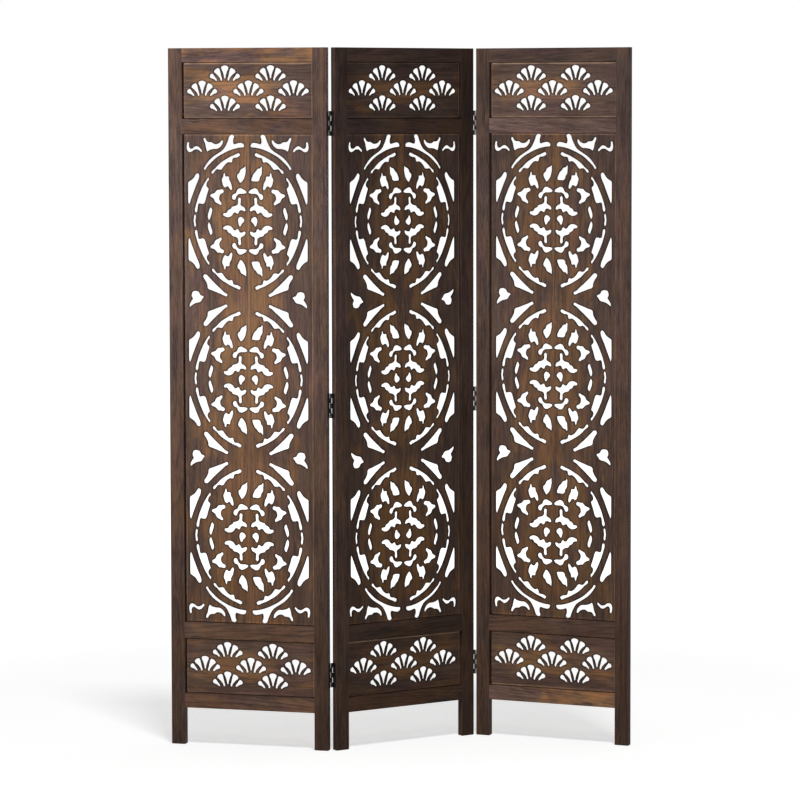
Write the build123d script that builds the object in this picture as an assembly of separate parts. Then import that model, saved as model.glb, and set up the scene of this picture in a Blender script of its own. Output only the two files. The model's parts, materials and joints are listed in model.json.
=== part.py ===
from build123d import *
import math
import os

# Carved jali screen: three pierced timber panels that fold on butt hinges.
#
# Millimetres, +Z up.  The origin is the middle of the standing screen's footprint, on the floor.
# The front faces -Y.  A panel is drawn first in its own frame: X along its width from the left edge,
# Y from the front face to the back face, Z from the floor.

# ---------------------------------------------------------------- panel frame
panel_width = 400.0
panel_height = 1700.0
frame_thickness = 18.0
stile_width = 35.0
foot_height = 91.0            # clear height under the bottom rail
bottom_rail_height = 35.5
bottom_fan_opening = 136.5    # from the bottom rail to the lower middle rail
lower_rail_height = 39.0
upper_rail_height = 35.5
top_fan_opening = 137.0       # from the upper middle rail to the top rail
top_rail_height = 34.0
arris = 0.8                   # chamfer on the frame's long outer edges
foot_arris = 1.5              # chamfer round the bottom of each foot

# ---------------------------------------------------------------- joinery
tenon_cover = 14.5            # wood left in a stile beyond the end of a mortise
tenon_thickness = 6.0
tenon_shoulder = 8.0          # from the rail's edge to its tenon
tenon_end_gap = 0.5           # glue space at the end of a tenon
groove_depth = 7.0
groove_slack = 0.2            # room in front of a tongue in its groove
groove_end_gap = 0.5          # room for the board to swell

# ---------------------------------------------------------------- boards
board_recess = 8.0            # front of the frame to the front of a board
board_thickness = 4.0
tongue_thickness = 2.0
shadow_gap = 1.5              # open line between a board's raised field and the frame
field_arris = 0.6             # chamfer round the raised field

# ---------------------------------------------------------------- carved pattern
# The pattern is stretched to leave these strips of plain board next to the frame.
medallion_side_strip = 10.4
medallion_end_strip = 3.35
fan_side_strip = 11.3
fan_end_strip = 8.2
blade_gap = 20.1              # between the blades of two medallions, one above the other
bell_rise_upper = 190.4       # bells, from the middle of the opening
bell_rise_lower = -197.9
fan_gap = 39.1                # between two fans of a row
fan_row_pitch = 36.4
fan_base_drop = 12.1          # base line of the middle row, below the middle of the opening

# ---------------------------------------------------------------- hinges
hinge_height = 60.0
hinge_gap = 6.0               # between two panels' edges when the screen stands flat
axis_offset = 0.5             # hinge axis outside the face that its barrel is on
barrel_diameter = 4.4
pin_diameter = 2.2
pin_clearance = 0.05          # radial, in the knuckles that turn
leaf_thickness = 1.2
leaf_reach = 15.0             # hinge axis to the far edge of a leaf
leaf_relief = 0.6             # between a barrel and the plate that it turns beside
knuckle_count = 5
knuckle_slack = 0.2           # between neighbouring knuckles
hinge_drop_top = 182.0        # top of the panel to the middle of the top hinge
hinge_rise_bottom = 183.0     # floor to the middle of the bottom hinge
hinge_middle_drop = 12.5      # middle hinge below the midpoint of the other two
screw_diameter = 2.8
screw_head_diameter = 5.2
screw_length = 13.0
screw_point = 3.0
screw_spacing = 20.0
screw_line = 8.5              # hinge axis to the outer screws
screw_stagger = 2.5           # middle screw further from the axis
head_clearance = 0.1
slot_width = 0.8
slot_depth = 0.5

# ---------------------------------------------------------------- stance
centre_yaw = 32.2             # centre panel, turned from the X axis
left_fold = 47.9              # left panel folded back from flat
right_fold = 56.1             # right panel folded forward from flat

# Sideways fitting of the boards in each panel, and of the middle fan in its row.
panel_names = ("left", "centre", "right")
medallion_shift = {"left": -2.2, "centre": -1.7, "right": 0.3}
fan_shift = {"left": -0.7, "centre": -1.6, "right": -0.5}
middle_fan_shift = {"left": 1.9, "centre": 1.7, "right": -2.1}

# ---------------------------------------------------------------- levels worked out from the above
hinge_radius = barrel_diameter / 2
tenon_length = stile_width - tenon_cover - tenon_end_gap
bottom_rail_top = foot_height + bottom_rail_height
lower_rail_base = bottom_rail_top + bottom_fan_opening
lower_rail_top = lower_rail_base + lower_rail_height
top_rail_base = panel_height - top_rail_height
upper_rail_top = top_rail_base - top_fan_opening
upper_rail_base = upper_rail_top - upper_rail_height
board_back = board_recess + board_thickness
tongue_front = board_back - tongue_thickness
hinge_top = panel_height - hinge_drop_top
hinge_middle = (hinge_top + hinge_rise_bottom) / 2 - hinge_middle_drop
hinge_levels = {"top": hinge_top, "middle": hinge_middle, "bottom": hinge_rise_bottom}
overrun = 1.0                 # how far a cutter runs past the face that it opens

# name: (base, height, groove below, groove above)
rails = {
    "bottom_rail": (foot_height, bottom_rail_height, False, True),
    "lower_mid_rail": (lower_rail_base, lower_rail_height, True, True),
    "upper_mid_rail": (upper_rail_base, upper_rail_height, True, True),
    "top_rail": (top_rail_base, top_rail_height, True, False),
}
# name: (base, top) of each opening
openings = {
    "bottom_fan_board": (bottom_rail_top, lower_rail_base),
    "medallion_board": (lower_rail_top, upper_rail_base),
    "top_fan_board": (upper_rail_top, top_rail_base),
}

# ---------------------------------------------------------------- carved outlines
# Each opening is a closed smooth line through a few points (x, z).  One quarter of a medallion:
# x outward from its upright axis, z up from its centre.
quarter_outlines = {
    "arch": [
        (18.5, 161.5), (21.5, 164.7), (30, 161.7), (40, 157.7), (52, 151.5), (65, 143.7), (76, 134.5),
        (85, 125.5), (91.5, 118.5), (91, 115.8), (88, 115.5), (83, 120.5), (76.5, 126.2), (71, 125.2),
        (66, 125.5), (62, 130), (57.5, 136), (51, 141.7), (46, 143.2), (41, 142.2), (38.3, 145.5),
        (37, 151), (34, 153.6), (28, 154.2), (21.5, 157),
    ],
    "flank": [
        (97.7, 103.5), (99, 105.6), (103, 102), (108.5, 93.7), (114.5, 83.5), (120, 71.5),
        (125.5, 58.5), (130, 45), (132.8, 35), (134.6, 25.5), (133, 21.8), (129.5, 22), (127.5, 26),
        (126.5, 33.5), (125.3, 40), (123.5, 42.9), (117, 42.2), (111, 42.7), (108.5, 46),
        (105.5, 55.5), (102, 67), (99.3, 75), (99, 79.5), (102, 82.5), (104, 86.5), (103.5, 91.5),
        (100.5, 97),
    ],
    "wedge": [
        (122.3, 110.5), (124.3, 114.6), (128, 115.8), (131.5, 113), (136, 106.2), (141, 101), (147, 97),
        (150.5, 94.5), (151.4, 90), (151.5, 75), (151.5, 55), (150.8, 45), (149, 40.8), (147, 43.5),
        (144, 52), (138.7, 66), (132.5, 82), (127, 94.5), (123.2, 104),
    ],
    "brow": [
        (2.4, 70.5), (5, 74.2), (11, 77.8), (18, 80.2), (24, 78.5), (27.7, 73), (30.5, 68), (35.5, 65.7),
        (39.3, 61.5), (39.2, 55.5), (35.5, 52.5), (31.5, 53), (29, 57.5), (26, 63), (21.5, 66.3),
        (13, 67), (6, 67.8),
    ],
    "bird": [
        (16.6, 52), (18, 56.5), (20.5, 57.7), (23.3, 56), (24.6, 51), (24.3, 45.5), (26, 41), (31, 37.5),
        (37, 36), (40.5, 34.3), (42.5, 31), (47, 28.3), (50.8, 25.5), (53, 21.5), (57.5, 19.7),
        (61.5, 19.2), (62.8, 16.5), (59, 12.5), (52, 10.2), (45, 11), (39.5, 14.3), (36.5, 18.3),
        (33.5, 21.5), (30.5, 21), (26.5, 18.5), (23.3, 19.7), (21.5, 23.3), (18.7, 26.7), (14.5, 27),
        (9, 24.7), (5.6, 25.8), (6, 30.3), (10, 35), (15.5, 37.9), (17.6, 42), (16.9, 47),
    ],
    "leaf": [
        (58.5, 117), (60.7, 114.5), (61.8, 109), (64, 104.5), (65.5, 100.5), (64.7, 94.5), (62.5, 87.5),
        (59.7, 83.3), (56, 82), (52.8, 84.3), (50, 84.8), (47.5, 82), (44, 77), (41, 75.5), (39.2, 78),
        (39.5, 84.5), (41.3, 92), (44.8, 98.8), (46.2, 103), (46.8, 107.5), (50, 108.7), (54, 108.3),
        (56.3, 112),
    ],
    "tulip": [
        (60, 72.5), (61.5, 76), (65.5, 77.3), (71, 76), (76.5, 75.8), (80, 73), (83, 69.5), (88, 66.7),
        (93, 65), (95.2, 62.3), (93.5, 59.5), (89, 56.8), (85.5, 52.8), (83, 47.5), (79.5, 44.7),
        (74.5, 42.5), (70.5, 40), (67, 39.8), (65.8, 42.3), (68, 47), (71, 51.3), (71.7, 56.5),
        (70.3, 62.5), (67.7, 66.2), (62.5, 68.8),
    ],
    "sliver": [
        (93.8, 33.3), (91, 31), (89.6, 26.5), (90.7, 20), (93.3, 12), (95.8, 5.5), (98, 3.2),
        (100.3, 5.5), (101.6, 12), (100.5, 19), (98, 26), (96.3, 31),
    ],
}
# Repeated on the left and the right of a medallion, at its middle height.
side_outlines = {
    "slit": [
        (133.7, 16), (136, 13.8), (137, 8), (137.8, 1), (137, -6), (136, -11.8), (133.7, -14),
        (131.6, -11.5), (131.6, -6), (132.6, 1), (131.6, 8), (131.6, 13.5),
    ],
    "drop": [
        (17.5, 11), (12, 8.5), (8.3, 2.3), (10.6, -2), (15.2, -7), (18.3, -11.8), (20.7, -11.8),
        (23.2, -7.2), (24.8, -1), (24.3, 5.2), (21.2, 9.9),
    ],
}
# The two crown leaves lean the same way, so they aren't mirror images.  Repeated upside down below.
crown_outlines = {
    "near_leaf": [
        (-3, 133.8), (-4.2, 129.5), (-3.8, 123.5), (-5, 115), (-7.5, 105.5), (-12, 98.2), (-16.5, 94),
        (-19, 93.4), (-21.5, 96.8), (-25, 103), (-26.8, 109), (-25.6, 113.3), (-22, 116.3),
        (-19.7, 121), (-16.5, 126), (-11.5, 128.5), (-7, 131.5),
    ],
    "far_leaf": [
        (36, 133.5), (37.3, 129), (36.8, 122), (36.5, 115), (34, 109.8), (31.8, 106.5), (30.8, 101.5),
        (27.7, 97.7), (21, 96.7), (14, 97), (10.3, 98), (9.8, 102), (12.3, 109), (16.3, 116.3),
        (20.7, 120.5), (24.3, 125.5), (28, 127.5), (32.5, 129.3),
    ],
}
# The blade lies outside a medallion on the sides that face another medallion.
blade_outline = [
    (52.3, 179.3), (54.5, 181.8), (62, 179.5), (72, 175.3), (84, 170.7), (94, 167), (100.5, 164.6),
    (102.8, 161.5), (103.5, 155.5), (106, 148.5), (110.5, 141), (113.7, 136), (113, 131), (108.5, 129),
    (103.5, 131), (97, 137.5), (88, 146.5), (78, 156), (66, 166.5), (57, 174),
]
# The first and last medallions carry these towards the rail instead.
corner_outlines = {
    "branch": [
        (8, 181), (9.5, 186.5), (15, 189.4), (22, 189), (29, 187.2), (33.5, 186.4), (35.2, 189.5),
        (35.6, 195), (34.3, 201), (33.2, 205.8), (36.5, 208.6), (42, 208.4), (45.7, 205.4), (48, 199),
        (51.5, 190), (56, 181), (61, 174), (68, 168.3), (77, 162.7), (86, 157), (95, 149.5),
        (103, 140.2), (109, 131.5), (110.8, 126.3), (108, 124.4), (104, 129), (96, 138.3), (86, 147.8),
        (75, 156.5), (62, 163.7), (50, 169.5), (36, 174.7), (22, 178), (12, 179),
    ],
    "bat": [
        (61.6, 192), (62.5, 195.7), (65, 195.4), (69, 191.3), (74.5, 187.6), (80.5, 186.4), (85.5, 188),
        (90, 190.8), (96, 191.2), (101, 193), (104.5, 197.7), (107.5, 201.2), (110.5, 201),
        (111.2, 197.5), (108.5, 190.5), (106, 181), (104, 172.5), (101.5, 169), (98, 171), (91, 174),
        (83, 175.3), (76, 175.7), (70, 178.7), (65.3, 183.5), (62.5, 188),
    ],
    "curl": [
        (149.5, 191.3), (151.8, 191), (153.8, 186), (154.6, 179), (153.3, 172), (149.5, 168),
        (144, 167.6), (139, 170), (134, 173.3), (129, 174), (124, 172.5), (119.5, 168.5),
        (116.5, 167.3), (115, 169.5), (117, 173.5), (121.5, 178.3), (127, 181.3), (132.5, 180.8),
        (137, 178), (141, 175.4), (145, 176), (147.3, 180), (148, 186),
    ],
}
# A bell stands at each edge of the board between two medallions, always the same way up.
bell_outline = [
    (141, 21.5), (137, 23.2), (129, 23), (125, 21), (122.3, 16.5), (119, 12.8), (114, 11), (112.8, 9.3),
    (115.5, 5.5), (118.5, 0.5), (122.5, -3), (128, -4.3), (134, -6), (140, -9.2), (145, -13),
    (148.5, -15.2), (149.3, -12), (147, -5), (143, 1), (141, 4), (142, 7.5), (143.8, 12), (143, 17.5),
]
# A fan's petals, from the middle of its base line: the middle one, then the two on its right.
middle_petal = [
    (0, 36), (5, 35), (9, 32.3), (9.3, 29), (6.8, 23.5), (4.3, 16.5), (2.5, 9.5), (1, 4.8), (-1, 4.8),
    (-2.5, 9.5), (-4.3, 16.5), (-6.8, 23.5), (-9.3, 29), (-9, 32.3), (-5, 35),
]
side_petals = [
    [
        (17, 29.6), (22, 27.8), (26, 24.5), (27.2, 20.8), (25, 18), (20, 14), (15.5, 9), (12.3, 4),
        (10.5, -0.3), (8, -0.6), (6.7, 1.5), (8, 8), (9.8, 15.5), (11.5, 22.5), (13.3, 27.5),
    ],
    [
        (32, 16.3), (35.5, 15), (38.2, 11.5), (38, 8), (35.5, 5.8), (31, 4.3), (26.5, 2),
        (22.5, -0.8), (19.8, -0.5), (20, 2), (23, 6.5), (26.5, 11.3), (29.3, 15),
    ],
]

medallion_pitch = 2 * max(z for _, z in blade_outline) + blade_gap
fan_pitch = 2 * max(x for x, _ in side_petals[-1]) + fan_gap


def block(x0, x1, y0, y1, z0, z1):
    """A box between two corners."""
    size = (x1 - x0, y1 - y0, z1 - z0)
    middle = Location(((x0 + x1) / 2, (y0 + y1) / 2, (z0 + z1) / 2))
    return middle * Box(*size)


def long_edges(solid, length):
    """The upright edges of a post that are as long as the post."""
    edges = solid.edges().filter_by(Axis.Z)
    return edges.filter_by(lambda edge: edge.length > length - 1)


# ---------------------------------------------------------------- frame members
def stile(side, hinge_edge):
    """An upright of a panel.  side is "left" or "right"; hinge_edge is "front", "back" or None."""
    x0 = 0.0 if side == "left" else panel_width - stile_width
    inner = stile_width if side == "left" else panel_width - stile_width
    inward = 1 if side == "left" else -1
    outer = inner - inward * stile_width
    post = block(x0, x0 + stile_width, 0, frame_thickness, 0, panel_height)
    post = chamfer(post.faces().sort_by(Axis.Z)[0].edges(), foot_arris)
    rims = long_edges(post, panel_height - foot_arris)
    post = chamfer(rims.filter_by(lambda edge: abs(edge.center().X - outer) < 1), arris)
    cutters = []
    depth = sorted((inner - inward * groove_depth, inner + inward * overrun))
    for base, top in openings.values():
        groove_base = base - groove_depth
        groove_top = top + groove_depth
        front = tongue_front - groove_slack
        cutters.append(block(*depth, front, board_back, groove_base, groove_top))
    socket = sorted((inner - inward * (tenon_length + tenon_end_gap), inner + inward * overrun))
    front, back = tenon_faces()
    for base, height, _, _ in rails.values():
        low = base + tenon_shoulder
        high = base + height - tenon_shoulder
        cutters.append(block(*socket, front, back, low, high))
    if hinge_edge:
        for level in hinge_levels.values():
            for screw_y, screw_z in screw_places(hinge_edge):
                hole = screw_hole().rotate(Axis.Y, 90 * inward)
                cutters.append(Pos(outer, screw_y, level + screw_z) * hole)
    return post - cutters


def tenon_faces():
    """Front and back of a tenon, in the middle of the frame's thickness."""
    front = (frame_thickness - tenon_thickness) / 2
    return front, front + tenon_thickness


def rail(name):
    """A cross member with a tenon at each end and a groove for each board beside it."""
    base, height, groove_below, groove_above = rails[name]
    left = stile_width
    right = panel_width - stile_width
    bar = block(left, right, 0, frame_thickness, base, base + height)
    if name == "top_rail":
        top_edges = bar.faces().sort_by(Axis.Z)[-1].edges().filter_by(Axis.X)
        bar = chamfer(top_edges, arris)
    front, back = tenon_faces()
    low = base + tenon_shoulder
    high = base + height - tenon_shoulder
    bar += block(left - tenon_length, right + tenon_length, front, back, low, high)
    groove_front = tongue_front - groove_slack
    if groove_below:
        bar -= block(left, right, groove_front, board_back, base - overrun, base + groove_depth)
    if groove_above:
        top = base + height
        bar -= block(left, right, groove_front, board_back, top - groove_depth, top + overrun)
    return bar


# ---------------------------------------------------------------- pierced boards
def placed(points, mirror_x=1, mirror_z=1, x=0.0, z=0.0):
    """An outline mirrored where asked, then moved."""
    return [(x + mirror_x * px, z + mirror_z * pz) for px, pz in points]


def medallion_outlines():
    """Every opening of the medallion board, from the middle of the board."""
    outlines = []
    for step in (1, 0, -1):
        centre = step * medallion_pitch
        for side in (-1, 1):
            for points in side_outlines.values():
                outlines.append(placed(points, side, 1, 0, centre))
            for up in (-1, 1):
                for points in quarter_outlines.values():
                    outlines.append(placed(points, side, up, 0, centre))
                if up == step:
                    for points in corner_outlines.values():
                        outlines.append(placed(points, side, up, 0, centre))
                else:
                    outlines.append(placed(blade_outline, side, up, 0, centre))
        for up in (-1, 1):
            for points in crown_outlines.values():
                outlines.append(placed(points, 1, up, 0, centre))
    for height in (bell_rise_upper, bell_rise_lower):
        for side in (-1, 1):
            outlines.append(placed(bell_outline, side, 1, 0, height))
    return outlines


def fan_outlines(middle_shift):
    """Seven fans in rows of two, three and two, from the middle of the board."""
    outlines = []
    for row, places in ((1, (-0.5, 0.5)), (0, (-1, 0, 1)), (-1, (-0.5, 0.5))):
        base = row * fan_row_pitch - fan_base_drop
        for place in places:
            centre = place * fan_pitch
            if place == 0:
                centre += middle_shift
            outlines.append(placed(middle_petal, 1, 1, centre, base))
            for petal in side_petals:
                for side in (-1, 1):
                    outlines.append(placed(petal, side, 1, centre, base))
    return outlines


def plain_board(base, top):
    """A board before it is pierced: a raised field with a tongue all round."""
    left = stile_width
    right = panel_width - stile_width
    reach = groove_depth - groove_end_gap
    tongue = block(left - reach, right + reach, tongue_front, board_back, base - reach, top + reach)
    gap = shadow_gap
    field = block(left + gap, right - gap, board_recess, board_back, base + gap, top - gap)
    field = chamfer(field.faces().sort_by(Axis.Y)[0].edges(), field_arris)
    return tongue + field


def fitted(outlines, width, height):
    """The outlines stretched to a width and a height."""
    stretch_x = width / 2 / max(abs(x) for outline in outlines for x, _ in outline)
    stretch_z = height / 2 / max(abs(z) for outline in outlines for _, z in outline)
    return [[(stretch_x * x, stretch_z * z) for x, z in outline] for outline in outlines]


def pierced_board(base, top, outlines, shift):
    """A board with the outlines sawn through.  Its two faces and the sawn walls are joined up."""
    middle_x = panel_width / 2 + shift
    middle_z = (base + top) / 2
    front, *edges, back = plain_board(base, top).faces().sort_by(Axis.Y)
    front_loops = []
    back_loops = []
    walls = []
    for outline in outlines:
        line = [(middle_x + x, board_recess, middle_z + z) for x, z in outline]
        loop = Edge.make_spline(line, periodic=True)
        wall = Face.extrude(loop, Vector(0, board_thickness, 0))
        rims = wall.edges().filter_by(lambda edge: edge.is_closed).sort_by(Axis.Y)
        front_loops.append(Wire([rims[0]]))
        back_loops.append(Wire([rims[-1]]))
        walls.append(wall)
    pierced_front = Face(front.outer_wire(), front_loops)
    pierced_back = Face(back.outer_wire(), back_loops)
    return Solid(Shell([pierced_front, pierced_back, *edges, *walls]))


def boards(name):
    """The three boards of a panel.  The centre panel's medallion board is the other way up."""
    turn = -1 if name == "centre" else 1
    made = {}
    for board, (base, top) in openings.items():
        if board == "medallion_board":
            outlines = [placed(points, turn, turn) for points in medallion_outlines()]
            side_strip = medallion_side_strip
            end_strip = medallion_end_strip
            shift = medallion_shift[name]
        else:
            outlines = fan_outlines(middle_fan_shift[name])
            side_strip = fan_side_strip
            end_strip = fan_end_strip
            shift = fan_shift[name]
        width = panel_width - 2 * stile_width - 2 * side_strip
        height = top - base - 2 * end_strip
        made[board] = pierced_board(base, top, fitted(outlines, width, height), shift)
    return made


# ---------------------------------------------------------------- hinges
# A hinge is drawn about its axis, with its barrel towards +Y and a panel's edge at x = half the gap.
def screw_places(hinge_edge):
    """Panel-frame depth, and height from the hinge's middle, of a leaf's three screws."""
    places = []
    for step in (-1, 0, 1):
        reach = screw_line + (screw_stagger if step == 0 else 0)
        y = frame_thickness + axis_offset - reach
        if hinge_edge == "front":
            y = frame_thickness - y
        places.append((y, step * screw_spacing))
    return places


def screw():
    """A countersunk wood screw along +Z, its head's top at z = 0 and its point below wood level."""
    head = Pos(0, 0, leaf_thickness / 2) * Cone(screw_head_diameter / 2, screw_diameter / 2, leaf_thickness)
    shank_length = screw_length - leaf_thickness - screw_point
    shank = Pos(0, 0, leaf_thickness + shank_length / 2) * Cylinder(screw_diameter / 2, shank_length)
    point_base = leaf_thickness + shank_length
    point = Pos(0, 0, point_base + screw_point / 2) * Cone(screw_diameter / 2, 0, screw_point)
    slot = block(-screw_head_diameter, screw_head_diameter, -slot_width / 2, slot_width / 2, -1, slot_depth)
    return head + shank + point - slot


def screw_hole():
    """The pilot hole for a screw, along +Z from the wood's edge."""
    shank_length = screw_length - leaf_thickness - screw_point
    shank = Pos(0, 0, shank_length / 2) * Cylinder(screw_diameter / 2, shank_length)
    start = Pos(0, 0, -overrun / 2) * Cylinder(screw_diameter / 2, overrun)
    point = Pos(0, 0, shank_length + screw_point / 2) * Cone(screw_diameter / 2, 0, screw_point)
    return shank + start + point


def knuckle_span(row):
    """Bottom and top of one knuckle, from the hinge's middle."""
    pitch = hinge_height / knuckle_count
    low = -hinge_height / 2 + row * pitch
    return low + knuckle_slack / 2, low + pitch - knuckle_slack / 2


def leaf(rows, bore_radius):
    """A hinge leaf on the edge of a panel that lies towards +X."""
    face = hinge_gap / 2
    plate_end = -hinge_radius - leaf_relief
    half = hinge_height / 2
    plate = block(face - leaf_thickness, face, -leaf_reach, plate_end, -half, half)
    for row in rows:
        low, high = knuckle_span(row)
        middle = (low + high) / 2
        bend = -hinge_radius + leaf_thickness
        plate += block(face - leaf_thickness, face, plate_end - overrun, bend, low, high)
        plate += block(0, face, -hinge_radius, bend, low, high)
        plate += Pos(0, 0, middle) * Cylinder(hinge_radius, high - low)
    bore = Cylinder(bore_radius, hinge_height + 2 * overrun)
    sinks = []
    for step in (-1, 0, 1):
        reach = screw_line + (screw_stagger if step == 0 else 0)
        wide = screw_head_diameter / 2 + head_clearance
        narrow = screw_diameter / 2 + head_clearance
        sink = Cone(wide, narrow, leaf_thickness).rotate(Axis.Y, 90)
        sinks.append(Pos(face - leaf_thickness / 2, -reach, step * screw_spacing) * sink)
    return plate - bore - sinks


def leaf_screws():
    """The three screws of one leaf, for a panel that lies towards +X."""
    made = []
    for step in (-1, 0, 1):
        reach = screw_line + (screw_stagger if step == 0 else 0)
        turned = screw().rotate(Axis.Y, 90)
        made.append(Pos(hinge_gap / 2 - leaf_thickness, -reach, step * screw_spacing) * turned)
    return made


def hinge_pin():
    """A hinge pin with its two ends eased."""
    pin = Cylinder(pin_diameter / 2, hinge_height - knuckle_slack)
    return chamfer(pin.edges().filter_by(GeomType.CIRCLE), pin_diameter / 8)


def mirrored(shape):
    """The same thing for a panel that lies towards -X."""
    return mirror(shape, about=Plane.YZ)


# ---------------------------------------------------------------- stance of the three panels
def turned(x, y, yaw):
    """A plan direction in a panel's frame, seen in the screen's frame."""
    c = math.cos(math.radians(yaw))
    s = math.sin(math.radians(yaw))
    return c * x - s * y, s * x + c * y


left_yaw = centre_yaw - left_fold
right_yaw = centre_yaw - right_fold
back_axis_y = frame_thickness + axis_offset
front_axis_y = -axis_offset
left_axis = turned(-hinge_gap / 2, back_axis_y, centre_yaw)
right_axis = turned(panel_width + hinge_gap / 2, front_axis_y, centre_yaw)
reach_to_left = turned(panel_width + hinge_gap / 2, back_axis_y, left_yaw)
reach_to_right = turned(-hinge_gap / 2, front_axis_y, right_yaw)
panel_places = {
    "left": Location((left_axis[0] - reach_to_left[0], left_axis[1] - reach_to_left[1], 0), (0, 0, left_yaw)),
    "centre": Location((0, 0, 0), (0, 0, centre_yaw)),
    "right": Location(
        (right_axis[0] - reach_to_right[0], right_axis[1] - reach_to_right[1], 0), (0, 0, right_yaw)
    ),
}
hinge_edges = {
    "left": {"left": None, "right": "back"},
    "centre": {"left": "back", "right": "front"},
    "right": {"left": "front", "right": None},
}


def build():
    """Every piece in place, before the screen is centred on its origin."""
    made = {}
    for name in panel_names:
        place = panel_places[name]
        for side in ("left", "right"):
            made[f"{name}_panel_{side}_stile"] = place * stile(side, hinge_edges[name][side])
        for rail_name in rails:
            made[f"{name}_panel_{rail_name}"] = place * rail(rail_name)
        for board_name, board in boards(name).items():
            made[f"{name}_panel_{board_name}"] = place * board

    centre_rows = range(0, knuckle_count, 2)
    other_rows = range(1, knuckle_count, 2)
    fixed_bore = pin_diameter / 2
    turning_bore = pin_diameter / 2 + pin_clearance
    # fold, axis, the outer panel, its yaw, half turn for a barrel on the front
    folds = (
        ("left_fold", left_axis, left_yaw, 0),
        ("right_fold", right_axis, right_yaw, 180),
    )
    for fold, axis, outer_yaw, half_turn in folds:
        centre_screws = []
        outer_screws = []
        for level_name, level in hinge_levels.items():
            on_centre = Location((axis[0], axis[1], level), (0, 0, centre_yaw + half_turn))
            on_outer = Location((axis[0], axis[1], level), (0, 0, outer_yaw + half_turn))
            stem = f"{fold}_{level_name}_hinge"
            made[f"{stem}_centre_leaf"] = on_centre * leaf(centre_rows, fixed_bore)
            made[f"{stem}_outer_leaf"] = on_outer * mirrored(leaf(other_rows, turning_bore))
            made[f"{stem}_pin"] = on_centre * hinge_pin()
            for part in leaf_screws():
                centre_screws.append(on_centre * part)
                outer_screws.append(on_outer * mirrored(part))
        made[f"{fold}_centre_screws"] = Compound(children=centre_screws)
        made[f"{fold}_outer_screws"] = Compound(children=outer_screws)
    return made


def centred(made):
    """The same pieces with the middle of the footprint at the origin."""
    boxes = [shape.bounding_box() for shape in made.values()]
    middle_x = (min(box.min.X for box in boxes) + max(box.max.X for box in boxes)) / 2
    middle_y = (min(box.min.Y for box in boxes) + max(box.max.Y for box in boxes)) / 2
    move = Location((-middle_x, -middle_y, 0))
    print(f"left fold axis {left_axis[0] - middle_x:.3f} {left_axis[1] - middle_y:.3f}")
    print(f"right fold axis {right_axis[0] - middle_x:.3f} {right_axis[1] - middle_y:.3f}")
    return {name: move * shape for name, shape in made.items()}


os.makedirs("parts", exist_ok=True)
for node, shape in centred(build()).items():
    export_step(shape, f"parts/{node}.step")
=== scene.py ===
"""Looks for the carved jali screen: stained timber, pierced boards, dark butt hinges, white studio."""
import bpy
import json
import math
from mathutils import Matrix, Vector

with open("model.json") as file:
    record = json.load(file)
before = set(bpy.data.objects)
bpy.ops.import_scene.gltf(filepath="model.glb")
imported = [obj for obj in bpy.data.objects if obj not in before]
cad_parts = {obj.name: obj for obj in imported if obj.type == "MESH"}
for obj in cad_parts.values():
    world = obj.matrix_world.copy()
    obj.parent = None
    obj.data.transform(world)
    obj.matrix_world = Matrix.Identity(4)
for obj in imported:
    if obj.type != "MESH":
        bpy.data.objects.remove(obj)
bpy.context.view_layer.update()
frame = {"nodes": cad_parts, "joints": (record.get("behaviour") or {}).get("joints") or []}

# ---------------------------------------------------------------- panel sizes, in metres
PANEL_WIDTH = 0.400
STILE_WIDTH = 0.035
DEPTH = 0.018
HINGE_GAP = 0.006                      # between two panels' edges
AXIS_OFFSET = 0.0005                   # hinge axis outside the face that its barrel is on
MEDALLION_PITCH = 0.3837               # from one medallion's middle to the next
GLUE_SEAM = PANEL_WIDTH / 2 + 0.0005   # across the panel, where a medallion board's halves meet
HEARTWOOD = 0.19                       # across the panel, the middle of a board's warmer wood
YAW = {"left": -15.7, "centre": 32.2, "right": -23.9}
HINGE_SIDE = {"left": (PANEL_WIDTH + HINGE_GAP / 2, DEPTH + AXIS_OFFSET),
              "centre": (-HINGE_GAP / 2, DEPTH + AXIS_OFFSET),
              "right": (-HINGE_GAP / 2, -AXIS_OFFSET)}
JOINT = {"left": "left_fold", "centre": "left_fold", "right": "right_fold"}
# foot and head of each board's opening in the frame
OPENINGS = {"bottom_fan_board": (0.1265, 0.263), "medallion_board": (0.302, 1.4935),
            "top_fan_board": (1.529, 1.666)}

# ---------------------------------------------------------------- stains
FRAME_STAIN = {"dark": (0.026, 0.0162, 0.0138, 1), "mid": (0.093, 0.0572, 0.0452, 1),
               "amber": (0.144, 0.072, 0.033, 1)}
BOARD_STAIN = {"dark": (0.055, 0.0335, 0.0275, 1), "mid": (0.138, 0.0840, 0.0615, 1),
               "amber": (0.262, 0.128, 0.046, 1)}
RING_STAIN = (0.016, 0.009, 0.0075, 1)
PORE_STAIN = (0.012, 0.008, 0.007, 1)
PLUM_TINT = (1.0, 0.93, 1.04, 1)
FOOT_TINT = (0.95, 0.97, 0.92, 1)
# the head's bluer, lighter tint is a painted sheen toward the top
HEAD_PAINTED_SHEEN_TINT = (1.02, 1.08, 1.15, 1)
SCORCHED_EDGE = (0.018, 0.012, 0.010, 1)
# a board's rim: partly wear, partly a painted highlight where its rounded edge catches the lamp
RIM_WEAR_AND_HIGHLIGHT = (0.33, 0.22, 0.15, 1)
# painted shade in the gap between a board and its frame
GAP_PAINTED_SHADE = (0.008, 0.005, 0.004, 1)
SAWN_WALL = (0.022, 0.015, 0.012, 1)
GLUE_LINE = (0.46, 0.27, 0.13, 1)

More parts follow.
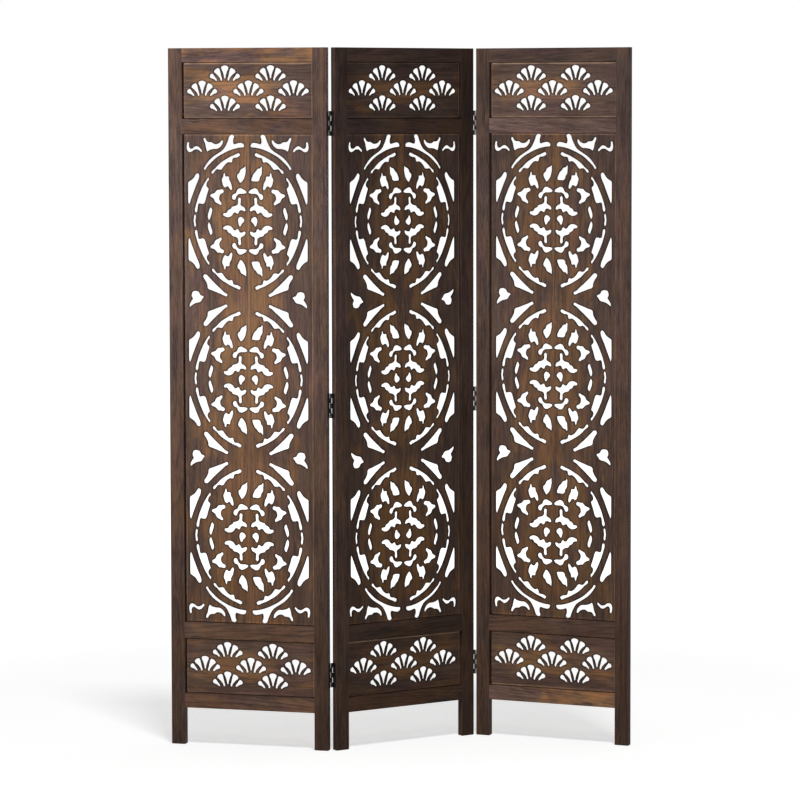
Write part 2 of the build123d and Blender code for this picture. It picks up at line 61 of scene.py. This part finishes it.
# ---------------------------------------------------------------- darker, lighter and warmer pieces
SHADES = {
    "left_panel_left_stile": 1.02, "left_panel_right_stile": 1.10, "left_panel_bottom_rail": 1.52,
    "left_panel_lower_mid_rail": 1.40, "left_panel_upper_mid_rail": 0.92, "left_panel_top_rail": 1.70,
    "left_panel_bottom_fan_board": 1.32, "left_panel_medallion_board": 0.97,
    "left_panel_top_fan_board": 1.19,
    "centre_panel_left_stile": 0.87, "centre_panel_right_stile": 0.73, "centre_panel_bottom_rail": 0.79,
    "centre_panel_lower_mid_rail": 0.68, "centre_panel_upper_mid_rail": 0.61,
    "centre_panel_top_rail": 0.85, "centre_panel_bottom_fan_board": 0.88,
    "centre_panel_medallion_board": 0.78, "centre_panel_top_fan_board": 0.77,
    "right_panel_left_stile": 1.00, "right_panel_right_stile": 1.13, "right_panel_bottom_rail": 2.50,
    "right_panel_lower_mid_rail": 1.14, "right_panel_upper_mid_rail": 2.10, "right_panel_top_rail": 1.22,
    "right_panel_bottom_fan_board": 1.31, "right_panel_medallion_board": 0.87,
    "right_panel_top_fan_board": 1.38,
}
BOARD_WARMTH = 0.8
FRAME_WARMTH = 0.35
WARMTHS = {
    "left_panel_bottom_rail": 0.5, "left_panel_lower_mid_rail": 0.4, "left_panel_upper_mid_rail": 0.75,
    "left_panel_top_rail": 1.4, "left_panel_bottom_fan_board": 0.6, "left_panel_medallion_board": 0.68,
    "centre_panel_upper_mid_rail": 0.6, "centre_panel_bottom_rail": 0.6, "centre_panel_top_rail": 0.3,
    "centre_panel_bottom_fan_board": 0.65,
    "right_panel_bottom_rail": 1.3, "right_panel_upper_mid_rail": 0.2, "right_panel_top_rail": 0.2,
    "right_panel_bottom_fan_board": 0.65, "right_panel_medallion_board": 0.7,
    "right_panel_top_fan_board": 0.6,
}
# how strongly a board's rim shows wear and a painted highlight at its left, right, bottom and top edge
RIMS = {
    "left_panel_bottom_fan_board": (0.1, 0.25, 0.0, 0.5),
    "left_panel_medallion_board": (0.1, 0.34, 0.0, 0.26),
    "left_panel_top_fan_board": (0.2, 0.42, 0.2, 0.62),
    "centre_panel_bottom_fan_board": (0.0, 0.1, 0.0, 0.75),
    "centre_panel_medallion_board": (0.08, 0.16, 0.0, 0.2),
    "centre_panel_top_fan_board": (0.0, 0.2, 0.3, 0.08),
    "right_panel_bottom_fan_board": (0.1, 0.38, 0.38, 0.0),
    "right_panel_medallion_board": (0.05, 0.5, 0.0, 0.45),
    "right_panel_top_fan_board": (0.6, 0.15, 0.62, 0.85),
}
# how much darker or lighter a stile is at its foot and at its head
FADES = {
    "left_panel_left_stile": (0.95, 1.08), "left_panel_right_stile": (0.70, 1.05),
    "centre_panel_left_stile": (1.0, 0.74), "centre_panel_right_stile": (1.0, 0.64),
    "right_panel_left_stile": (0.92, 1.05), "right_panel_right_stile": (0.70, 1.12),
}
# how clearly a light glue line shows down the middle of a medallion board
GLUE_LINES = {"left": 0.55, "centre": 0.08, "right": 0.3}
# how far a rail's grain runs out of true
SLANTS = {"bottom_rail": 0.05, "lower_mid_rail": -0.07, "upper_mid_rail": 0.09, "top_rail": -0.06}


def panel_corner(panel):
    """The front left corner of a panel's foot, worked back from its hinge."""
    axis = next(j for j in frame["joints"] if j["name"] == JOINT[panel])["pos_m"]
    a = math.radians(YAW[panel])
    x, y = HINGE_SIDE[panel]
    return (axis[0] - math.cos(a) * x + math.sin(a) * y, axis[1] - math.sin(a) * x - math.cos(a) * y, 0)


# ---------------------------------------------------------------- node helpers
class Tree:
    """Adds nodes to a material's or a group's tree and links them by value."""

    def __init__(self, tree):
        self.tree = tree

    def fill(self, socket, value):
        """Links an output into a socket, or sets the socket's own value."""
        if isinstance(value, bpy.types.NodeSocket):
            self.tree.links.new(value, socket)
        else:
            socket.default_value = value

    def add(self, kind, sockets=None, **settings):
        node = self.tree.nodes.new(kind)
        for key, value in settings.items():
            setattr(node, key, value)
        for key, value in (sockets or {}).items():
            self.fill(node.inputs[key], value)
        return node

    def group(self, tree, sockets):
        return self.add("ShaderNodeGroup", sockets, node_tree=tree).outputs

    def split(self, vector):
        return self.add("ShaderNodeSeparateXYZ", {0: vector}).outputs

    def math(self, operation, a, b=0.0, c=0.0, clamp=False):
        node = self.add("ShaderNodeMath", {0: a, 1: b, 2: c}, operation=operation, use_clamp=clamp)
        return node.outputs[0]

    def product(self, a, b):
        return self.math("MULTIPLY", a, b)

    def distance(self, a, b):
        """How far two values are apart."""
        return self.math("ABSOLUTE", self.math("SUBTRACT", a, b))

    def step(self, value, low, high, to_low=0.0, to_high=1.0):
        """A smooth step from low to high."""
        node = self.add("ShaderNodeMapRange", {"Value": value, "From Min": low, "From Max": high,
                        "To Min": to_low, "To Max": to_high}, interpolation_type="SMOOTHSTEP")
        return node.outputs["Result"]

    def vector(self, operation, a, b=(0, 0, 0), c=(0, 0, 0)):
        node = self.add("ShaderNodeVectorMath", {0: a, 1: b, 2: c}, operation=operation)
        return node.outputs["Value" if operation in ("DOT_PRODUCT", "LENGTH") else "Vector"]

    def noise(self, vector, scale, detail=2.0, roughness=0.5, distortion=0.0, output="Fac"):
        node = self.add("ShaderNodeTexNoise", {
            "Vector": self.vector("MULTIPLY", vector, scale), "Scale": 1.0, "Detail": detail,
            "Roughness": roughness, "Distortion": distortion})
        return node.outputs[output]

    def mix(self, factor, a, b, blend="MIX"):
        node = self.add("ShaderNodeMix", data_type="RGBA", blend_type=blend)
        for index, value in ((0, factor), (6, a), (7, b)):
            self.fill(node.inputs[index], value)
        return node.outputs[2]

    def tint(self, colour, tint):
        return self.mix(1.0, colour, tint, "MULTIPLY")


def new_group(name, inputs, outputs):
    """A shared node group with named sockets; returns its tree and its two ends."""
    group = bpy.data.node_groups.new(name, "ShaderNodeTree")
    for socket, kind in inputs.items():
        group.interface.new_socket(name=socket, in_out="INPUT", socket_type=kind)
    for socket, kind in outputs.items():
        group.interface.new_socket(name=socket, in_out="OUTPUT", socket_type=kind)
    tree = Tree(group)
    return tree, tree.add("NodeGroupInput").outputs, tree.add("NodeGroupOutput")


def new_material(name):
    material = bpy.data.materials.new(name)
    material.use_nodes = True
    material.node_tree.nodes.clear()
    return material, Tree(material.node_tree)


# ---------------------------------------------------------------- shared effects
# noise cells to the metre: across the grain, through the board and along the grain
WANDER_CELLS = (6, 6, 2.2)
BROAD_CELLS = (48, 48, 2.0)
STREAK_CELLS = (200, 160, 9)
FIBRE_CELLS = (420, 330, 30)
GROWTH_CELLS = (15, 15, 0.7)
PORE_CELLS = (1500, 1000, 60)
AMBER_CELLS = (24, 24, 9)
PLUM_CELLS = (26, 26, 7)
# and across, through and up a panel
PATCH_CELLS = (10, 10, 8)
RIM_PATCH_CELLS = (9, 9, 9)

WANDER = (0.018, 0.018, 0)         # how far the grain wanders, in metres
GROWTH_RINGS = 15.0                # rings over the whole range of the growth noise
HEART_PULL = 0.24                  # how much more amber the heartwood takes
TINT_LEVELS = (0.2, 1.45)          # heights between which the foot's tint turns into the head's tint, a painted sheen

# a board's rim, by distance from the frame in metres: each pair is the start and end of a soft step
# GAP_EDGE: where the painted shade in the gap ends
GAP_EDGE = (0.0012, 0.0017)
RIM_INNER = (0.0014, 0.0019)
RIM_OUTER = (0.0042, 0.0056)
SCORCH_START = (0.0045, 0.007)


def make_timber():
    """Hand-stained timber, with a painted sheen toward its head.  Place is metres in the panel's frame,
    Grain the same with the grain along Z.
    """
    tree, given, made = new_group(
        "stained_timber",
        {"Place": "NodeSocketVector", "Grain": "NodeSocketVector", "Dark": "NodeSocketColor",
         "Mid": "NodeSocketColor", "Amber": "NodeSocketColor", "Shade": "NodeSocketFloat",
         "Warmth": "NodeSocketFloat", "Heart": "NodeSocketFloat"},
        {"Color": "NodeSocketColor", "Roughness": "NodeSocketFloat", "Height": "NodeSocketFloat"})
    place, grain = given["Place"], given["Grain"]
    wander = tree.noise(grain, WANDER_CELLS, 1.0, output="Color")
    bent = tree.vector("MULTIPLY_ADD", wander, WANDER, grain)
    broad = tree.noise(bent, BROAD_CELLS, 2.0, 0.55)
    streaks = tree.noise(bent, STREAK_CELLS, 3.0, 0.65)
    fibres = tree.noise(bent, FIBRE_CELLS, 3.0, 0.7)
    growth = tree.product(tree.noise(bent, GROWTH_CELLS, 1.5, 0.45), GROWTH_RINGS)
    rings = tree.step(tree.math("PINGPONG", growth, 0.5), 0.0, 0.2, 1.0, 0.0)
    pores = tree.step(tree.noise(grain, PORE_CELLS, 2.0, 0.6), 0.6, 0.7)
    warm = tree.noise(grain, AMBER_CELLS, 3.0, 0.6, 0.4)
    amber = tree.step(tree.math("MULTIPLY_ADD", given["Heart"], HEART_PULL, warm), 0.5, 0.74)
    plum = tree.step(tree.noise(grain, PLUM_CELLS, 2.0, 0.5, 0.3), 0.45, 0.66)

    tone = tree.math("MULTIPLY_ADD", streaks, 0.4, tree.product(fibres, 0.52))
    tone = tree.step(tree.math("MULTIPLY_ADD", broad, 0.28, tone), 0.42, 0.78)
    colour = tree.mix(tone, given["Dark"], given["Mid"])
    soaked = tree.product(tree.product(amber, given["Warmth"]), tree.step(tone, 0.0, 0.9, 0.5, 1.0))
    colour = tree.mix(soaked, colour, given["Amber"])
    colour = tree.mix(tree.product(plum, 0.9), colour, tree.tint(colour, PLUM_TINT))
    colour = tree.mix(tree.product(rings, 0.34), colour, RING_STAIN)
    colour = tree.mix(tree.product(pores, 0.45), colour, PORE_STAIN)
    # toward the head the tint is a painted sheen
    level = tree.step(tree.split(place)["Z"], *TINT_LEVELS)
    colour = tree.tint(colour, tree.mix(level, FOOT_TINT, HEAD_PAINTED_SHEEN_TINT))
    patches = tree.step(tree.noise(place, PATCH_CELLS, 2.0, 0.5), 0.3, 0.7, 0.86, 1.14)
    scaled = tree.add("ShaderNodeVectorMath", {0: colour, "Scale": tree.product(given["Shade"], patches)},
                      operation="SCALE")

    tree.fill(made.inputs["Color"], scaled.outputs["Vector"])
    tree.fill(made.inputs["Roughness"], tree.step(fibres, 0.25, 0.75, 0.66, 0.5))
    tree.fill(made.inputs["Height"], tree.math("SUBTRACT", tree.product(fibres, 0.5),
                                               tree.math("MULTIPLY_ADD", rings, 0.3, pores)))
    return tree.tree


def make_edges():
    """A pierced board's scorched and sawn edges, its rim of wear and painted highlight, and painted shade
    in the gap round it.
    """
    tree, given, made = new_group(
        "board_edges",
        {"Color": "NodeSocketColor", "Place": "NodeSocketVector", "Facing": "NodeSocketFloat",
         "Low": "NodeSocketFloat", "High": "NodeSocketFloat", "Edge": "NodeSocketFloat",
         "Sides": "NodeSocketVector", "Ends": "NodeSocketVector"},
        {"Color": "NodeSocketColor"})
    parts, sides, ends = (tree.split(given[name]) for name in ("Place", "Sides", "Ends"))
    # patches in which the rim's wear and painted highlight show
    rim_patches = tree.step(tree.noise(given["Place"], RIM_PATCH_CELLS, 3.0, 0.65), 0.34, 0.6, 0.25, 1.25)
    edge, rim = None, None
    for far, strength in ((tree.math("SUBTRACT", parts["X"], STILE_WIDTH), sides["X"]),
                          (tree.math("SUBTRACT", PANEL_WIDTH - STILE_WIDTH, parts["X"]), sides["Y"]),
                          (tree.math("SUBTRACT", parts["Z"], given["Low"]), ends["X"]),
                          (tree.math("SUBTRACT", given["High"], parts["Z"]), ends["Y"])):
        line = tree.product(tree.step(far, *RIM_INNER), tree.step(far, *RIM_OUTER, 1.0, 0.0))
        line = tree.product(line, strength)
        edge = far if edge is None else tree.math("MINIMUM", edge, far)
        rim = line if rim is None else tree.math("MAXIMUM", rim, line)
    scorch = tree.product(tree.step(given["Edge"], 0.45, 0.97, 0.93, 0.0), tree.step(edge, *SCORCH_START))
    colour = tree.mix(scorch, given["Color"], SCORCHED_EDGE)
    # the rim: partly wear, partly a painted highlight where the rounded edge catches the lamp
    colour = tree.mix(tree.math("MULTIPLY", rim, rim_patches, clamp=True), colour, RIM_WEAR_AND_HIGHLIGHT)
    # painted shade in the gap between the board and the frame
    colour = tree.mix(tree.step(edge, *GAP_EDGE, 0.9, 0.0), colour, GAP_PAINTED_SHADE)
    wall = tree.step(given["Facing"], 0.3, 0.6, 1.0, 0.0)
    colour = tree.mix(tree.product(wall, 0.8), colour, SAWN_WALL)
    tree.fill(made.inputs["Color"], colour)
    return tree.tree


# where a board or a stile changes, in metres: again the start and end of a soft step
HEART_HALF = (0.02, 0.15)          # from the heartwood's middle to where it ends
MEDALLION_HALF = (0.105, 0.175)    # from a medallion's middle to the waist between two of them
BOARD_HALF = (0.12, 0.5)           # from the middle of a medallion board to its darker ends
FAN_ROW_HALF = (0.012, 0.045)      # from the middle of a fan board to its darker rows
FOOT_LEVELS = (0.2, 0.7)           # heights over which a stile's foot fades
HEAD_LEVELS = (1.15, 1.5)          # and its head
GLUE_HALF = (0.0005, 0.0014)       # from the glue line's middle to its edge


def make_light(board):
    """Where a board's wood is warmer, and by how much it is lighter there."""
    tree, given, made = new_group(board + "_light", {"Place": "NodeSocketVector"},
                                  {"Heart": "NodeSocketFloat", "Lift": "NodeSocketFloat"})
    parts = tree.split(given["Place"])
    low, high = OPENINGS[board]
    middle = tree.step(tree.distance(parts["X"], HEARTWOOD), *HEART_HALF, 1.0, 0.0)
    height = tree.math("SUBTRACT", parts["Z"], (low + high) / 2)
    away = tree.math("ABSOLUTE", height)
    if board == "medallion_board":
        waist = tree.math("PINGPONG", height, MEDALLION_PITCH / 2)
        warm = tree.step(waist, *MEDALLION_HALF, 1.0, 0.62)
        band = tree.product(tree.step(away, *BOARD_HALF, 1.0, 0.35), warm)
    else:
        warm = band = tree.step(away, *FAN_ROW_HALF, 1.0, 0.0)
    tree.fill(made.inputs["Heart"], tree.product(middle, warm))
    tree.fill(made.inputs["Lift"], tree.product(band, tree.math("MULTIPLY_ADD", middle, 0.2, 0.14)))
    return tree.tree


def make_fade():
    """How much darker or lighter a stile turns toward its foot and its head."""
    tree, given, made = new_group(
        "stile_fade",
        {"Place": "NodeSocketVector", "Foot": "NodeSocketFloat", "Head": "NodeSocketFloat"},
        {"Fade": "NodeSocketFloat"})
    level = tree.split(given["Place"])["Z"]
    tree.fill(made.inputs["Fade"], tree.product(tree.step(level, *FOOT_LEVELS, given["Foot"], 1.0),
                                                tree.step(level, *HEAD_LEVELS, 1.0, given["Head"])))
    return tree.tree


def make_glue_line():
    """A light line where the halves of a medallion board meet, clearest above the middle."""
    tree, given, made = new_group(
        "glue_line",
        {"Color": "NodeSocketColor", "Place": "NodeSocketVector", "Strength": "NodeSocketFloat"},
        {"Color": "NodeSocketColor"})
    parts = tree.split(given["Place"])
    low, high = OPENINGS["medallion_board"]
    height = tree.math("SUBTRACT", parts["Z"], (low + high) / 2)
    line = tree.step(tree.distance(parts["X"], GLUE_SEAM), *GLUE_HALF, given["Strength"], 0.0)
    shown = tree.product(tree.step(height, -0.1, 0.1, 0.1, 1.0), tree.step(height, 0.26, 0.5, 1.0, 0.4))
    tree.fill(made.inputs["Color"], tree.mix(tree.product(line, shown), given["Color"], GLUE_LINE))
    return tree.tree


TARNISH_CELLS = (160, 160, 160)    # to the metre, along the screen's own axes
SCRATCH_CELLS = (2600, 2600, 240)
TARNISHED = (0.45, 0.45, 0.45, 1)  # share of the steel's brightness that tarnish leaves


def make_steel():
    """Dull steel with tarnish in soft spots and fine scratches."""
    tree, given, made = new_group(
        "dull_steel",
        {"Place": "NodeSocketVector", "Color": "NodeSocketColor", "Roughness": "NodeSocketFloat"},
        {"Color": "NodeSocketColor", "Roughness": "NodeSocketFloat", "Height": "NodeSocketFloat"})
    tarnish = tree.step(tree.noise(given["Place"], TARNISH_CELLS, 4.0, 0.6), 0.4, 0.75)
    scratches = tree.noise(given["Place"], SCRATCH_CELLS, 3.0, 0.6)
    dull = tree.tint(given["Color"], TARNISHED)
    rougher = tree.step(tree.math("ADD", tarnish, scratches), 0.3, 1.5, -0.08, 0.2)
    tree.fill(made.inputs["Color"], tree.mix(tree.product(tarnish, 0.7), given["Color"], dull))
    tree.fill(made.inputs["Roughness"], tree.math("ADD", given["Roughness"], rougher))
    tree.fill(made.inputs["Height"], scratches)
    return tree.tree


TIMBER = make_timber()
EDGES = make_edges()
LIGHTS = {board: make_light(board) for board in OPENINGS}
FADE = make_fade()
GLUE = make_glue_line()
STEEL = make_steel()

# ---------------------------------------------------------------- timber
SEAM_JUMP = 0.37                   # moves the grain on between the glued halves, in metres
SCORCH_REACH = 0.0045              # from a sawn edge into the board, in metres
SEED_STEP = 0.37                   # keeps each piece's grain its own


def board_edges(tree, colour, name, board, place, yaw):
    """Puts the sawn and scorched edges, the rim of wear and painted highlight, and painted shade in the gap
    on a pierced board.
    """
    low, high = OPENINGS[board]
    left, right, bottom, top = RIMS[name]
    normal = tree.add("ShaderNodeNewGeometry").outputs["True Normal"]
    front = (-math.sin(yaw), math.cos(yaw), 0)
    facing = tree.math("ABSOLUTE", tree.vector("DOT_PRODUCT", normal, front))
    inner = tree.add("ShaderNodeAmbientOcclusion", {"Distance": SCORCH_REACH}, inside=True,
                     only_local=True, samples=4).outputs["AO"]
    return tree.group(EDGES, {"Color": colour, "Place": place, "Facing": facing, "Low": low, "High": high,
                              "Edge": inner, "Sides": (left, right, 0), "Ends": (bottom, top, 0)})["Color"]


def timber(name, panel, along, stain, seed, warmth, board=None, slant=0.0):
    """Stained timber.  along is "z" for upright grain or "x" for grain across the panel."""
    material, tree = new_material(name)
    where = tree.add("ShaderNodeTexCoord").outputs["Object"]
    yaw = math.radians(YAW[panel])
    place = tree.add("ShaderNodeMapping", {"Vector": where, "Location": panel_corner(panel),
                     "Rotation": (0, 0, yaw)}, vector_type="TEXTURE").outputs[0]
    parts = tree.split(place)
    across, length = (parts["X"], parts["Z"]) if along == "z" else (parts["Z"], parts["X"])
    across = tree.math("MULTIPLY_ADD", length, slant, across)
    heart, shade = 0.5, SHADES[name]
    if board:
        light = tree.group(LIGHTS[board], {"Place": place})
        heart, shade = light["Heart"], tree.math("MULTIPLY_ADD", light["Lift"], shade, shade)
    if board == "medallion_board":
        glued = tree.math("GREATER_THAN", parts["X"], GLUE_SEAM)
        across = tree.math("MULTIPLY_ADD", glued, SEAM_JUMP, across)
    if name in FADES:
        foot, head = FADES[name]
        shade = tree.product(tree.group(FADE, {"Place": place, "Foot": foot, "Head": head})["Fade"], shade)
    turned = tree.add("ShaderNodeCombineXYZ", {"X": across, "Y": parts["Y"], "Z": length}).outputs[0]
    grain = tree.vector("ADD", turned, (seed, 2.3 * seed, 1.7 * seed))
    wood = tree.group(TIMBER, {"Place": place, "Grain": grain, "Dark": stain["dark"], "Mid": stain["mid"],
                               "Amber": stain["amber"], "Shade": shade, "Warmth": warmth, "Heart": heart})
    colour = wood["Color"]
    if board == "medallion_board":
        colour = tree.group(GLUE, {"Color": colour, "Place": place, "Strength": GLUE_LINES[panel]})["Color"]
    if board:
        colour = board_edges(tree, colour, name, board, place, yaw)
    bump = tree.add("ShaderNodeBump", {"Height": wood["Height"], "Strength": 0.3, "Distance": 0.0005})
    shader = tree.add("ShaderNodeBsdfPrincipled", {"Base Color": colour, "Roughness": wood["Roughness"],
                      "Normal": bump.outputs[0], "Specular IOR Level": 0.08})
    tree.add("ShaderNodeOutputMaterial", {"Surface": shader.outputs[0]})
    return material


# ---------------------------------------------------------------- metal
def metal(name, colour, seed, roughness):
    """Dull steel for the hinges, with its own colour and its own spots."""
    material, tree = new_material(name)
    where = tree.add("ShaderNodeTexCoord").outputs["Object"]
    place = tree.vector("ADD", where, (seed, seed, seed))
    steel = tree.group(STEEL, {"Place": place, "Color": colour, "Roughness": roughness})
    bump = tree.add("ShaderNodeBump", {"Height": steel["Height"], "Strength": 0.2, "Distance": 0.0002})
    shader = tree.add("ShaderNodeBsdfPrincipled", {"Base Color": steel["Color"], "Metallic": 1.0,
                      "Roughness": steel["Roughness"], "Normal": bump.outputs[0]})
    tree.add("ShaderNodeOutputMaterial", {"Surface": shader.outputs[0]})
    return material


METALS = {
    "_leaf": metal("hinge_leaf_steel", (0.045, 0.042, 0.04, 1), 1.3, 0.5),
    "_pin": metal("hinge_pin_steel", (0.32, 0.31, 0.3, 1), 4.1, 0.3),
    "_screws": metal("screw_steel", (0.14, 0.13, 0.12, 1), 7.7, 0.38),
}


# ---------------------------------------------------------------- each piece gets its finish
def finish_of(node, number):
    """The material of a piece, from its name and its place in the list."""
    for ending, material in METALS.items():
        if node.endswith(ending):
            return material
    panel, piece = node.split("_panel_")
    seed = SEED_STEP * (number + 1)
    if piece.endswith("_board"):
        along = "z" if piece == "medallion_board" else "x"
        return timber(node, panel, along, BOARD_STAIN, seed, WARMTHS.get(node, BOARD_WARMTH), piece)
    along = "z" if piece.endswith("_stile") else "x"
    return timber(node, panel, along, FRAME_STAIN, seed, WARMTHS.get(node, FRAME_WARMTH),
                  slant=SLANTS.get(piece, 0.0))


for number, node in enumerate(sorted(frame["nodes"])):
    slots = frame["nodes"][node].data.materials
    slots.clear()
    slots.append(finish_of(node, number))


# ---------------------------------------------------------------- studio
FLOOR_HALF = 60.0
FLOOR_SEEN = (0.8, 0.8, 0.8, 1)    # the floor as the camera sees it
FLOOR_PLAIN = (0.3, 0.3, 0.3, 1)   # the floor as it lights the screen
GLOW_REACH = (1.2, 4.0)            # from the origin, where the floor's glow rises to white
GLOW = (0.60, 1.04)
AMBIENT = 0.02
WHITE = (1, 1, 1, 1)


def collection_of(name, objects):
    group = bpy.data.collections.new(name)
    for item in objects:
        group.objects.link(item)
    return group


def looking(tree):
    """1 for rays that show the studio itself: seen straight, mirrored or through."""
    rays = tree.add("ShaderNodeLightPath").outputs
    straight = tree.math("MAXIMUM", rays["Is Camera Ray"], rays["Is Glossy Ray"])
    return tree.math("MAXIMUM", straight, rays["Is Transmission Ray"])


def make_floor():
    """A white floor: bright where it is seen, a plain pale floor for all other rays."""
    material, tree = new_material("studio_floor")
    where = tree.add("ShaderNodeTexCoord").outputs["Object"]
    glow = tree.step(tree.vector("LENGTH", where), *GLOW_REACH, *GLOW)
    seen = tree.add("ShaderNodeBsdfDiffuse", {"Color": FLOOR_SEEN})
    glowing = tree.add("ShaderNodeEmission", {"Color": WHITE, "Strength": glow})
    both = tree.add("ShaderNodeAddShader", {0: seen.outputs[0], 1: glowing.outputs[0]})
    plain = tree.add("ShaderNodeBsdfDiffuse", {"Color": FLOOR_PLAIN})
    choice = tree.add("ShaderNodeMixShader", {0: looking(tree), 1: plain.outputs[0], 2: both.outputs[0]})
    tree.add("ShaderNodeOutputMaterial", {"Surface": choice.outputs[0]})
    mesh = bpy.data.meshes.new("floor")
    half = FLOOR_HALF
    mesh.from_pydata([(-half, -half, 0), (half, -half, 0), (half, half, 0), (-half, half, 0)],
                     [], [(0, 1, 2, 3)])
    floor = bpy.data.objects.new("floor", mesh)
    bpy.context.collection.objects.link(floor)
    mesh.materials.append(material)
    return floor


def area_light(name, place, target, size, power, receivers, colour=(1, 1, 1)):
    light = bpy.data.lights.new(name, "AREA")
    light.shape = "RECTANGLE"
    light.size, light.size_y = size
    light.energy = power
    light.color = colour
    lamp = bpy.data.objects.new(name, light)
    bpy.context.collection.objects.link(lamp)
    lamp.location = place
    lamp.rotation_euler = (Vector(target) - Vector(place)).to_track_quat("-Z", "Y").to_euler()
    lamp.light_linking.receiver_collection = receivers


def make_world():
    world = bpy.data.worlds.new("studio")
    bpy.context.scene.world = world
    world.use_nodes = True
    world.node_tree.nodes.clear()
    tree = Tree(world.node_tree)
    white = tree.add("ShaderNodeBackground", {"Color": WHITE, "Strength": 1.0})
    dim = tree.add("ShaderNodeBackground", {"Color": WHITE, "Strength": AMBIENT})
    choice = tree.add("ShaderNodeMixShader", {0: looking(tree), 1: dim.outputs[0], 2: white.outputs[0]})
    tree.add("ShaderNodeOutputWorld", {"Surface": choice.outputs[0]})


floor = make_floor()
on_screen = collection_of("lit_screen", frame["nodes"].values())
on_floor = collection_of("lit_floor", [floor])
make_world()
# name, place, aimed at, width and height, watts, what it lights, colour
area_light("key", (-1.5, -1.3, 1.3), (0, 0, 1.1), (0.6, 0.6), 39, on_screen, (1.0, 0.94, 0.90))
area_light("fill", (0.9, -1.6, 0.9), (0, 0, 0.8), (0.6, 0.6), 12, on_screen, (1.0, 0.98, 0.97))
area_light("front", (0.2, -3.4, 0.7), (0, 0, 0.7), (2.0, 0.8), 4, on_screen)
area_light("back", (0.1, 3.0, 1.3), (0, 0, 0.9), (1.6, 1.2), 80, on_screen)
area_light("top", (0, 0.3, 3.4), (0, 0, 0.9), (0.8, 0.8), 25, on_screen)
area_light("floor_front", (1.0, -4.8, 12), (0, 0, 0), (2.0, 2.0), 600, on_floor)
area_light("floor_top", (0, 0, 10), (0, 0, 0), (4.5, 4.5), 160, on_floor)

# ---------------------------------------------------------------- camera
SENSOR = 36                        # millimetres
FOCAL_PIXELS = 3495.3              # focal length in pixels of the picture
PICTURE_WIDTH = 800
CAMERA_PLACE = (-0.0671, -8.5023, 1.5651)
CAMERA_TILT, CAMERA_ROLL, CAMERA_TURN = 90 - 3.673, 0.106, -0.459    # degrees
CAMERA_SHIFT = -0.09               # in picture widths
CAMERA_SIGHT = 200                 # metres

camera = bpy.data.cameras.new("camera")
camera.lens = FOCAL_PIXELS / PICTURE_WIDTH * SENSOR
camera.sensor_width = SENSOR
camera.shift_y = CAMERA_SHIFT
camera.clip_end = CAMERA_SIGHT
eye = bpy.data.objects.new("camera", camera)
bpy.context.collection.objects.link(eye)
eye.location = CAMERA_PLACE
eye.rotation_euler = [math.radians(angle) for angle in (CAMERA_TILT, CAMERA_ROLL, CAMERA_TURN)]
bpy.context.scene.camera = eye
bpy.context.scene.view_settings.view_transform = "Standard"
